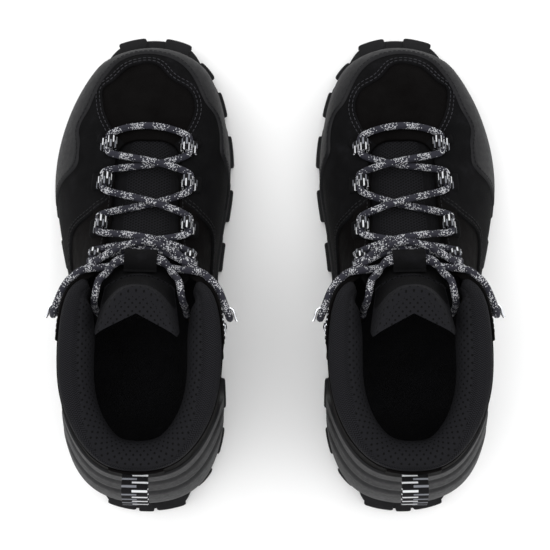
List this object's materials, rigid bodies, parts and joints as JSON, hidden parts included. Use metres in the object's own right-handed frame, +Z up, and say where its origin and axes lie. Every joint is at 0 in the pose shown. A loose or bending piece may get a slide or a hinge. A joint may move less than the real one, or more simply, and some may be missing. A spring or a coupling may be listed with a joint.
{
  "type": "pair of hiking boots",
  "caption": "Pair of black mid-cut hiking boots with lugged soles, padded collars, webbing lace loops, hooks, round laces and heel pull loops.",
  "frame": {"origin": "on the ground, midway between the two boots and midway between heel and toe", "axes": "+Z up; the toes point along -Y; +X is towards the left boot, so +X is the left foot of a wearer who faces -Y"},
  "size_m": [0.2774, 0.2995, 0.1629],
  "materials": {
    "outsole_rubber": "moulded carbon rubber, matte",
    "midsole_foam": "moulded foam, fine matte skin",
    "shank_steel": "spring steel strip, as rolled",
    "board": "fibreboard, plain",
    "footbed_fabric": "knit-topped foam",
    "suede": "black suede",
    "leather": "black smooth leather, satin",
    "rand": "moulded, satin",
    "heel_clip": "moulded, satin",
    "lining": "perforated padded textile",
    "mesh_knit": "spacer knit",
    "webbing": "woven webbing with light flecks",
    "lace_cord": "round braided cord with light flecks",
    "aglet": "clear-coated tip",
    "hook_metal": "plated and polished"
  },
  "bodies": {
    "left_boot": {"left_outsole": "outsole_rubber", "left_midsole": "midsole_foam", "left_shank": "shank_steel", "left_lasting_board": "board", "left_vamp": "suede", "left_quarter_outer": "leather", "left_quarter_inner": "leather", "left_toe_rand": "rand", "left_toe_puff": "board", "left_heel_counter": "board", "left_heel_clip": "heel_clip", "left_collar": "lining", "left_tongue": "mesh_knit", "left_lace_keeper": "suede", "left_loop_outer_1": "webbing", "left_loop_outer_2": "webbing", "left_loop_outer_3": "webbing", "left_loop_outer_4": "webbing", "left_hook_outer": "hook_metal", "left_aglet_outer": "aglet", "left_loop_inner_1": "webbing", "left_loop_inner_2": "webbing", "left_loop_inner_3": "webbing", "left_loop_inner_4": "webbing", "left_hook_inner": "hook_metal", "left_aglet_inner": "aglet", "left_lace": "lace_cord"},
    "left_tongue_flap_body": {"left_tongue_flap": "lining"},
    "left_footbed_body": {"left_footbed": "footbed_fabric"},
    "left_pull_loop_body": {"left_pull_loop": "webbing"},
    "right_boot": {"right_outsole": "outsole_rubber", "right_midsole": "midsole_foam", "right_shank": "shank_steel", "right_lasting_board": "board", "right_vamp": "suede", "right_quarter_outer": "leather", "right_quarter_inner": "leather", "right_toe_rand": "rand", "right_toe_puff": "board", "right_heel_counter": "board", "right_heel_clip": "heel_clip", "right_collar": "lining", "right_tongue": "mesh_knit", "right_lace_keeper": "suede", "right_loop_outer_1": "webbing", "right_loop_outer_2": "webbing", "right_loop_outer_3": "webbing", "right_loop_outer_4": "webbing", "right_hook_outer": "hook_metal", "right_aglet_outer": "aglet", "right_loop_inner_1": "webbing", "right_loop_inner_2": "webbing", "right_loop_inner_3": "webbing", "right_loop_inner_4": "webbing", "right_hook_inner": "hook_metal", "right_aglet_inner": "aglet", "right_lace": "lace_cord"},
    "right_tongue_flap_body": {"right_tongue_flap": "lining"},
    "right_footbed_body": {"right_footbed": "footbed_fabric"},
    "right_pull_loop_body": {"right_pull_loop": "webbing"}
  },
  "joints": [
    {"name": "right_boot_lift", "type": "slide", "parent": "left_boot", "child": "right_boot", "axis": [0, 0, 1], "range_m": [0, 0.2]},
    {"name": "left_flap_tilt", "type": "hinge", "parent": "left_boot", "child": "left_tongue_flap_body", "pos_m": [0.07774, -0.00061, 0.13524], "axis": [0.9997, -0.0227, 0], "range_deg": [0, 20]},
    {"name": "left_footbed_lift", "type": "hinge", "parent": "left_boot", "child": "left_footbed_body", "pos_m": [0.07464, -0.13684, 0.03562], "axis": [0.9997, -0.0227, 0], "range_deg": [0, 6]},
    {"name": "left_pull_loop_swing", "type": "hinge", "parent": "left_boot", "child": "left_pull_loop_body", "pos_m": [0.08035, 0.1145, 0.13512], "axis": [0.9997, -0.0227, 0], "range_deg": [0, 70]},
    {"name": "right_flap_tilt", "type": "hinge", "parent": "right_boot", "child": "right_tongue_flap_body", "pos_m": [-0.07774, -0.00061, 0.13524], "axis": [0.9997, 0.0227, 0], "range_deg": [0, 20]},
    {"name": "right_footbed_lift", "type": "hinge", "parent": "right_boot", "child": "right_footbed_body", "pos_m": [-0.07464, -0.13684, 0.03562], "axis": [0.9997, 0.0227, 0], "range_deg": [0, 6]},
    {"name": "right_pull_loop_swing", "type": "hinge", "parent": "right_boot", "child": "right_pull_loop_body", "pos_m": [-0.08035, 0.1145, 0.13512], "axis": [0.9997, 0.0227, 0], "range_deg": [0, 70]}
  ]
}
